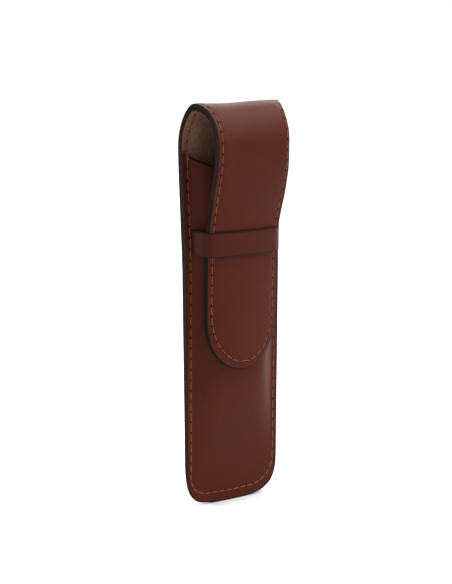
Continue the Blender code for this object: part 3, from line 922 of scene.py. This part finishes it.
def thread_material():
    """Twisted thread, with painted shade between its plies"""
    n = Nodes(bpy.data.materials.new("thread"))
    twist = n.math("ADD", n.math("MULTIPLY", n.attribute("along"), 9.0), n.attribute("turn"))
    ply = n.math("SINE", twist)
    fuzz = n.noise(6.0, 2.0)
    tone = n.mix(n.ramp(fuzz, 0.3, 0.7), (0.175, 0.055, 0.025, 1), (0.25, 0.088, 0.043, 1))
    # Painted shade in the grooves between the plies
    tone = n.mix(n.ramp(ply, -1.0, 0.2, 0.55, 0.0), tone, (0.095, 0.026, 0.011, 1))
    n.set(Base_Color=tone, Roughness=0.65, Normal=n.bump(ply, 0.05, 0.6))
    n.shader.inputs["Specular IOR Level"].default_value = 0.25
    return n.owner


def strap_front(x):
    """The y of the strap's outer face across the front, bowed over the tongue"""
    middle = BACK_Y - TONGUE_DEPTH - TONGUE_BOW * BOW_MIDDLE - STRAP_REST - STRAP_LEATHER
    return middle + TONGUE_BOW * (x / HALF_FLAP) ** 2


def strap_path():
    """The strap's outer line, (x, y), from its right slit round to the middle of the tongue"""
    panel_y = float(flange_y((STRAP_HIGH + STRAP_LOW) / 2))
    side = (STRAP_SIDE, strap_front(STRAP_SIDE))
    slope = 2 * TONGUE_BOW * STRAP_SIDE / HALF_FLAP ** 2
    corner = (STRAP_SIDE + STRAP_CORNER, side[1] + slope * STRAP_CORNER)
    leg = [(x, panel_y + y) for x, y in STRAP_LEG]
    turn = bezier([*leg, corner, side], np.linspace(0, 1, STRAP_POINTS))
    inside = [(leg[0][0], panel_y + depth) for depth in STRAP_TUCK]
    front = [(x, strap_front(x)) for x in spaced(STRAP_SIDE, 0, LINE_STEP)[1:]]
    return np.vstack([inside, turn, front])


def strap_line():
    """The whole outer line of the strap, right to left, by arc length"""
    right = strap_path()
    whole = np.vstack([right, right[-2::-1] * (-1, 1)])
    arcs = np.concatenate([[0], np.cumsum(np.hypot(*np.diff(whole, axis=0).T))])
    along = np.gradient(whole, arcs, axis=0)
    return whole, arcs, along / np.linalg.norm(along, axis=1)[:, None]


STRAP_LINE, STRAP_ARCS, STRAP_ALONG = strap_line()
STRAP_LENGTH = STRAP_ARCS[-1]


def tongue_lean(z):
    """How far forward the tongue still is at this height"""
    front = LINE.points[4 * CURVE_SAMPLES:][::-1]
    return BACK_Y - TONGUE_DEPTH - np.interp(z, front[:, 1], front[:, 0])


def strap_lay(x, s, depth):
    """The strap lies with x up its width from the middle, and s round the case"""
    place, y, dx, dy = (
        np.interp(s, STRAP_ARCS, values) for values in (*STRAP_LINE.T, *STRAP_ALONG.T)
    )
    size = np.hypot(dx, dy)
    z = (STRAP_HIGH + STRAP_LOW) / 2 + x + 0 * y
    lean = tongue_lean(z) * smooth_step((STRAP_SIDE + STRAP_CORNER - np.abs(place)) / STRAP_CORNER)
    return np.stack([place + dy / size * depth, y - dx / size * depth - lean, z], axis=-1)


def tack_line(side, shift):
    """A strand from its hole in the front panel up over the mouth's edge and into the lining"""
    x = side * (HALF_BODY - SEAM_MARGIN + shift)
    top = float(mouth_height(x))
    far = PANEL_LEATHER
    steps = (
        (-2.2, 0.5), (-2.0, -0.05), (-1.2, -TACK_WIDE), (-0.4, -TACK_WIDE), (0.05, -0.1),
        (0.3, 0.5), (0.35, 1.2), (0.6, far - 0.2), (1.1, far - 0.1), (1.5, far + 0.5),
    )
    rises, depths = np.array(steps).T
    return panel_lay(np.full(len(steps), x), top + rises, depths)


def tacks(material):
    """The doubled stitch at each end of the pocket's mouth"""
    points, faces, along = [], [], []
    turns = np.linspace(0, 2 * math.pi, STITCH_SIDES, endpoint=False)
    for side in (-1, 1):
        for shift in TACK_SHIFTS:
            line = tack_line(side, shift)
            ahead = np.gradient(line, axis=0)
            ahead /= np.linalg.norm(ahead, axis=1)[:, None]
            aside = np.array([1.0, 0, 0])
            third = np.cross(ahead, aside)
            start = sum(len(block) for block in points)
            ring = np.cos(turns)[None, :, None] * aside + np.sin(turns)[None, :, None] * third[:, None, :]
            points.append((line[:, None, :] + ring * TACK_WIDE).reshape(-1, 3))
            along.append(np.repeat(np.linspace(0, 5, len(line)), STITCH_SIDES))
            faces += tube_faces(start, len(line))
    turn = np.tile(np.sin(turns), len(np.vstack(points)) // STITCH_SIDES)
    values = {"along": np.concatenate(along), "turn": turn}
    return write_mesh("mouth_tacks", np.vstack(points), faces, values, [material], 80.0)


FLOOR_HALF = 8000.0

# The floor's whiteness grows with the distance from a line this long under the case, so it is darker near
# the case's foot: painted shade there, over the real shadow
FOOT_HALF = 9.0
FOOT_X = 3.0
FOOT_Y = 7.0
GLOW_START, GLOW_NEAR, GLOW_FAR = 3.6, 8.2, 80.0
NEAR_WHITE, FAR_WHITE = 0.45, 0.4


def stage():
    """The white floor; only the camera and mirrors see the light that it gives, and it gives less near the
    case's foot, a painted shade there
    """
    data = bpy.data.meshes.new("floor")
    size = FLOOR_HALF * MM
    corners = [(-size, -size, 0), (size, -size, 0), (size, size, 0), (-size, size, 0)]
    data.from_pydata(corners, [], [[0, 1, 2, 3]])
    floor = bpy.data.objects.new("floor", data)
    bpy.context.scene.collection.objects.link(floor)
    n = Nodes(bpy.data.materials.new("floor"))
    n.set(Base_Color=(0.8, 0.8, 0.8, 1), Roughness=0.9)
    n.shader.inputs["Specular IOR Level"].default_value = 0.1
    place = n.add("SeparateXYZ", {"Vector": n.add("NewGeometry").outputs["Position"]})
    aside = n.math("ABSOLUTE", n.math("SUBTRACT", place.outputs["X"], FOOT_X * MM))
    aside = n.ramp(aside, FOOT_HALF * MM, 1.0, 0.0, 1.0 - FOOT_HALF * MM)
    behind = n.math("SUBTRACT", place.outputs["Y"], FOOT_Y * MM)
    apart = n.add("CombineXYZ", {"X": aside, "Y": behind, "Z": 0.0}).outputs["Vector"]
    apart = n.add("VectorMath", {0: apart}, operation="LENGTH").outputs["Value"]
    # Less glow near the foot: painted shade round the case's base
    near = n.ramp(apart, GLOW_START * MM, GLOW_NEAR * MM, 0.0, NEAR_WHITE)
    far = n.ramp(apart, GLOW_NEAR * MM, GLOW_FAR * MM, 0.0, FAR_WHITE)
    white = n.math("MULTIPLY", n.seen(), n.math("ADD", near, far))
    glow = n.add("Emission", {"Color": (1, 1, 1, 1), "Strength": white})
    both = n.add("AddShader")
    n.tree.links.new(n.shader.outputs[0], both.inputs[0])
    n.tree.links.new(glow.outputs[0], both.inputs[1])
    n.tree.links.new(both.outputs[0], n.tree.nodes["Material Output"].inputs["Surface"])
    data.materials.append(n.owner)


# Each lamp's name, its place and its size in metres, and its power in watts
LAMPS = (
    ("top", (0.30, -0.15, 0.9), (0.8, 0.7), 9.9),
    ("back", (0.40, 0.65, 0.65), (0.8, 0.5), 3.2),
    ("front", (0.42, -0.70, 0.70), (0.6, 0.6), 3.6),
    ("right", (0.77, 0.10, 0.14), (0.5, 0.6), 0.95),
)
ROOM_LIGHT = 0.40


def area_light(name, place, size, power):
    """A soft lamp that faces the middle of the case"""
    data = bpy.data.lights.new(name, "AREA")
    data.shape = "RECTANGLE"
    data.size, data.size_y = size
    data.energy = power
    lamp = bpy.data.objects.new(name, data)
    bpy.context.scene.collection.objects.link(lamp)
    lamp.location = place
    ahead = Vector((0, 0, HEIGHT * MM * 0.5)) - Vector(place)
    lamp.rotation_euler = ahead.to_track_quat("-Z", "Y").to_euler()


def lights():
    """The soft lamps, and a room that is white to look at but lights the case less"""
    n = Nodes(bpy.data.worlds.new("studio"), "Background")
    n.set(Color=(1, 1, 1, 1), Strength=n.ramp(n.seen(), 0.0, 1.0, ROOM_LIGHT, 1.0))
    bpy.context.scene.world = n.owner
    for lamp in LAMPS:
        area_light(*lamp)


# The photograph's camera, and where it shows the point below the case's middle
VIEW_TURN = 28.0
VIEW_TILT = 14.0
PHOTO_WIDE, PHOTO_TALL = 452, 584
FOCAL_PIXELS = 1250.0
BASE_PIXEL = (241.78, 505.95)
BASE_SCALE = 2.43
BASE_Y = -1.75


def camera():
    """The camera that shows the case as the photograph does"""
    turn, tilt = math.radians(VIEW_TURN), math.radians(VIEW_TILT)
    ahead = Vector((math.sin(turn) * math.cos(tilt), math.cos(turn) * math.cos(tilt), -math.sin(tilt)))
    right = Vector((math.cos(turn), -math.sin(turn), 0))
    up = right.cross(ahead)
    away = FOCAL_PIXELS / BASE_SCALE
    across = (BASE_PIXEL[0] - PHOTO_WIDE / 2) / BASE_SCALE
    above = (PHOTO_TALL / 2 - BASE_PIXEL[1]) / BASE_SCALE
    place = Vector((0, BASE_Y, 0)) - ahead * away - right * across - up * above
    data = bpy.data.cameras.new("camera")
    data.sensor_fit = "HORIZONTAL"
    data.sensor_width = 36.0
    data.lens = FOCAL_PIXELS / PHOTO_WIDE * data.sensor_width
    view = bpy.data.objects.new("camera", data)
    bpy.context.scene.collection.objects.link(view)
    turned = Matrix((right, up, -ahead)).transposed().to_4x4()
    view.matrix_world = Matrix.Translation(place * MM) @ turned
    bpy.context.scene.camera = view


def blended(piece, fold):
    """Bakes the piece's place into its mesh; it does not bend it from one body to the next. The fold line
    is not used
    """
    x, y, z = fold
    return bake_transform(piece)


# Each stretch's name, its first and last arc length, its bodies, and its fold line with its reach
STRETCHES = (
    ("back", 0.0, CUTS[0], ("case", "flap_upper"), TOP_FOLD, 5.2),
    ("flap", CUTS[0], CUTS[1], ("flap_upper", "flap_lower"), MIDDLE_FOLD, 7.0),
    ("tongue", CUTS[1], LINE.tip, ("flap_lower", "tongue"), LOW_FOLD, 5.5),
)
LEATHER_NODES = {
    "back": ("back_leather", "flap_upper_leather"),
    "flap": ("flap_lower_leather",),
    "tongue": ("tongue_leather",),
}
LINING_NODES = {
    "back": ("back_lining", "flap_upper_lining"),
    "flap": ("flap_lower_lining",),
    "tongue": ("tongue_lining",),
}
OUTER_THREADS = {
    "back": ("seam_thread_back", "flap_upper_outer_thread_left", "flap_upper_outer_thread_right"),
    "flap": ("flap_lower_outer_thread_left", "flap_lower_outer_thread_right"),
    "tongue": ("tongue_outer_thread",),
}
INNER_THREADS = {
    "back": (
        "crown_inner_thread_left",
        "crown_inner_thread_right",
        "flap_upper_inner_thread_left",
        "flap_upper_inner_thread_right",
    ),
    "flap": ("flap_lower_inner_thread_left", "flap_lower_inner_thread_right"),
    "tongue": (),
}


def pairs_between(holes, low, high):
    """Neighbouring holes whose stitch has its middle in this stretch"""
    return [pair for pair in zip(holes, holes[1:]) if low <= (pair[0][1] + pair[1][1]) / 2 < high]


def near_stretch(holes, low, high):
    """Each run of holes that comes near this stretch"""
    runs = [[]]
    for hole in holes:
        if low - NEAR_REACH < hole[1] < high + NEAR_REACH:
            runs[-1].append(hole)
        else:
            runs.append([])
    return [run for run in runs if len(run) > 1]


def wall_points():
    """Extra mesh points up the moulded walls"""
    columns = np.arange(WALL_FOOT - WALL_REACH, WALL_FOOT + 2 * WALL_COLUMN, WALL_COLUMN)
    rows = np.arange(SWELL_START / 2, HEIGHT, WALL_ROW)
    return [(side * x, z) for x in columns for z in rows for side in (-1, 1)]


def seam_holes():
    """The holes of the seam round the body and of the seam over the crown and round the flap"""
    mouth = mouth_height(HALF_BODY - SEAM_MARGIN)
    return body_seam(mouth - MOUTH_HOLE), flap_seam(mouth + MOUTH_HOLE)


def build_pocket(body, hide, thread, draws):
    """The moulded front panel with its seam and the tacks at its mouth"""
    panel = leather(
        "pocket_front", [panel_edge(side) for side in (RIGHT, LEFT)], panel_lay, 0.0, PANEL_LEATHER,
        (EDGE_ROUND, BOND_ROUND), [hide, edge_material("edge_brown")], seams=(body,), extra=wall_points(),
    )
    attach(panel, "case")
    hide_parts("front_panel")
    front = stitches(
        "seam_front", list(zip(body, body[1:])), panel_lay, 0.0, 1, PANEL_THREAD, thread, draws,
    )
    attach(front, "case")
    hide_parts("seam_thread_front")
    corner = tacks(thread)
    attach(corner, "case")
    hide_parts("mouth_tack_left", "mouth_tack_right")


def build_strap(paint):
    """The keeper strap across the front"""
    half = (STRAP_HIGH - STRAP_LOW) / 2
    edge = [(half, s) for s in spaced(0.0, STRAP_LENGTH, 0.6)]
    keeper = leather(
        "keeper", (edge, edge), strap_lay, 0.0, STRAP_LEATHER, (0.4, 0.3),
        # The strap is the body's leather made darker: painted shade
        [leather_material("strap_leather", 0.88), paint], fine_step=0.9,
    )
    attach(keeper, "case")
    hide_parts("keeper_strap")


def build_strip(body, over, hide, paint, thread, draws):
    """The strip's three stretches, each with its lining and both rows of stitches"""
    suede = [suede_material(), edge_material("edge_dark")]
    # The tongue's edge gets the darker copy of the paint: painted shade
    deep = edge_material("edge_painted_shade")
    for name, low, high, bodies, fold, reach in STRETCHES:
        edges = [strip_edge(low, high, side) for side in (RIGHT, LEFT)]
        outer_runs = near_stretch(over, low, high)
        seams = outer_runs + ([body] if name == "back" else [])
        strip = leather(
            "leather_" + name, edges, strip_lay, 0.0, STRIP_LEATHER, (EDGE_ROUND, BOND_ROUND),
            [hide, deep if name == "tongue" else paint], seams=seams,
        )
        blended(strip, fold)
        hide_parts(*LEATHER_NODES[name])
        lining = leather(
            "lining_" + name, edges, strip_lay, STRIP_LEATHER, LINING_FAR, (BOND_ROUND, 0.4), suede,
            back_seams=outer_runs,
        )
        blended(lining, fold)
        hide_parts(*LINING_NODES[name])
        pairs = pairs_between(over, low, high)
        outer_pairs = pairs + (list(zip(body, body[1:])) if name == "back" else [])
        for title, found, depth, outward, nodes, size in (
            ("stitches_", outer_pairs, 0.0, 1, OUTER_THREADS[name], STRIP_THREAD),
            ("lining_stitches_", pairs, LINING_FAR, -1, INNER_THREADS[name], LINING_THREAD),
        ):
            piece = stitches(title + name, found, strip_lay, depth, outward, size, thread, draws)
            blended(piece, fold)
            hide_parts(*nodes)


def build():
    """All pieces, in the order of the stitches' random numbers, and the stage"""
    hide = leather_material("smooth_leather", 1.0)
    paint = edge_material("edge_paint")
    thread = thread_material()
    draws = np.random.default_rng(11)
    body, over = seam_holes()
    build_pocket(body, hide, thread, draws)
    build_strap(paint)
    build_strip(body, over, hide, paint, thread, draws)
    stage()
    lights()
    camera()
    bpy.context.scene.view_settings.view_transform = "Standard"


build()
bpy.context.view_layer.update()
